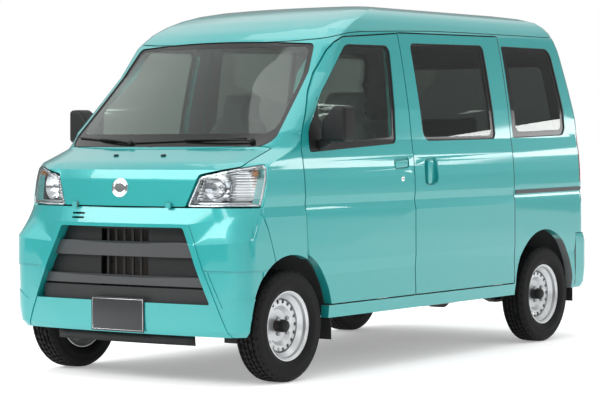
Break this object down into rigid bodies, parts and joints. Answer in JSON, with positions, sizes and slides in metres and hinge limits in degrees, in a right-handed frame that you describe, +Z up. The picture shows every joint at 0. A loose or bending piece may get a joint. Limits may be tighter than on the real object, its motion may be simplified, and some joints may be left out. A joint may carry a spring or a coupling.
{
  "type": "small one-box cargo van",
  "caption": "Small boxy delivery van with a short nose, sliding side doors, a lifting tailgate, silver steel wheels and a hollow cabin and load space.",
  "frame": {"origin": "on the ground, under the middle of the van's bounding box", "axes": "+X to the van's left side, +Y to its rear, +Z up; its nose faces -Y"},
  "size_m": [1.79, 3.3949, 1.8749],
  "materials": {
    "body_paint": "metallic gloss",
    "clear_glass": "polished",
    "privacy_glass": "polished",
    "lamp_lens": "clear moulded",
    "lamp_reflector": "bright",
    "red_lens": "moulded",
    "black_plastic": "grained",
    "cabin_plastic": "grained",
    "seat_cloth": "woven",
    "underbody_paint": "satin",
    "cast_metal": "as cast",
    "exhaust_steel": "dull",
    "radiator_alloy": "finned",
    "tyre_rubber": "moulded",
    "flap_rubber": "moulded",
    "wheel_silver": "silver satin"
  },
  "bodies": {
    "root": {"body_side_left": "body_paint", "body_side_right": "body_paint", "chassis_frame": "underbody_paint", "dashboard": "cabin_plastic", "door_slide_left": "body_paint", "door_slide_right": "body_paint", "engine": "cast_metal", "exhaust": "exhaust_steel", "floor_pan": "underbody_paint", "front_bumper": "body_paint", "fuel_tank": "black_plastic", "grille": "black_plastic", "headlamp_bowls": "lamp_reflector", "headlamp_lenses": "lamp_lens", "mud_flaps": "flap_rubber", "radiator": "radiator_alloy", "rear_axle": "underbody_paint", "rear_bumper": "body_paint", "roof": "body_paint", "seat_rear": "seat_cloth", "seats_front": "seat_cloth", "side_glass": "privacy_glass", "slide_rails": "black_plastic", "suspension": "underbody_paint", "tail_lamps": "red_lens", "tow_eyes": "underbody_paint", "windscreen": "clear_glass"},
    "hood": {"hood": "body_paint"},
    "tailgate": {"tailgate": "body_paint", "tailgate_glass": "privacy_glass"},
    "front_door_left": {"door_front_left": "body_paint", "window_front_left": "clear_glass", "mirror_left": "black_plastic"},
    "knuckle_left": {"knuckle_left": "cast_metal"},
    "wheel_front_left": {"tyre_front_left": "tyre_rubber", "rim_front_left": "wheel_silver"},
    "wheel_rear_left": {"tyre_rear_left": "tyre_rubber", "rim_rear_left": "wheel_silver"},
    "front_door_right": {"door_front_right": "body_paint", "window_front_right": "clear_glass", "mirror_right": "black_plastic"},
    "knuckle_right": {"knuckle_right": "cast_metal"},
    "wheel_front_right": {"tyre_front_right": "tyre_rubber", "rim_front_right": "wheel_silver"},
    "wheel_rear_right": {"tyre_rear_right": "tyre_rubber", "rim_rear_right": "wheel_silver"},
    "steering_wheel": {"steering_wheel": "cabin_plastic"}
  },
  "joints": [
    {"name": "hood_hinge", "type": "hinge", "parent": "root", "child": "hood", "pos_m": [0, -1.29, 1.122], "axis": [-1, 0, 0], "range_deg": [0, 50]},
    {"name": "tailgate_hinge", "type": "hinge", "parent": "root", "child": "tailgate", "pos_m": [0, 1.519, 1.744], "axis": [1, 0, 0], "range_deg": [0, 85]},
    {"name": "door_left_hinge", "type": "hinge", "parent": "root", "child": "front_door_left", "pos_m": [0.7385, -1.175, 0.85], "axis": [0, 0, -1], "range_deg": [0, 68]},
    {"name": "door_right_hinge", "type": "hinge", "parent": "root", "child": "front_door_right", "pos_m": [-0.7385, -1.175, 0.85], "axis": [0, 0, 1], "range_deg": [0, 68]},
    {"name": "steer_left", "type": "hinge", "parent": "root", "child": "knuckle_left", "pos_m": [0.545, -1.272, 0.27], "axis": [0, 0, 1], "range_deg": [-35, 35]},
    {"name": "steer_right", "type": "hinge", "parent": "root", "child": "knuckle_right", "pos_m": [-0.545, -1.272, 0.27], "axis": [0, 0, 1], "range_deg": [-35, 35]},
    {"name": "steering_wheel_turn", "type": "hinge", "parent": "root", "child": "steering_wheel", "pos_m": [-0.33, -0.985, 1], "axis": [0, 0.6428, 0.766], "range_deg": [-632, 632]},
    {"name": "spin_front_left", "type": "hinge", "parent": "knuckle_left", "child": "wheel_front_left", "pos_m": [0.652, -1.272, 0.27], "axis": [1, 0, 0], "continuous": true},
    {"name": "spin_front_right", "type": "hinge", "parent": "knuckle_right", "child": "wheel_front_right", "pos_m": [-0.652, -1.272, 0.27], "axis": [1, 0, 0], "continuous": true},
    {"name": "spin_rear_left", "type": "hinge", "parent": "root", "child": "wheel_rear_left", "pos_m": [0.652, 1.178, 0.27], "axis": [1, 0, 0], "continuous": true},
    {"name": "spin_rear_right", "type": "hinge", "parent": "root", "child": "wheel_rear_right", "pos_m": [-0.652, 1.178, 0.27], "axis": [1, 0, 0], "continuous": true}
  ],
  "couplings": [
    {"joint": "steer_right", "follows": "steer_left", "ratio": 1},
    {"joint": "steering_wheel_turn", "follows": "steer_left", "ratio": 18}
  ]
}
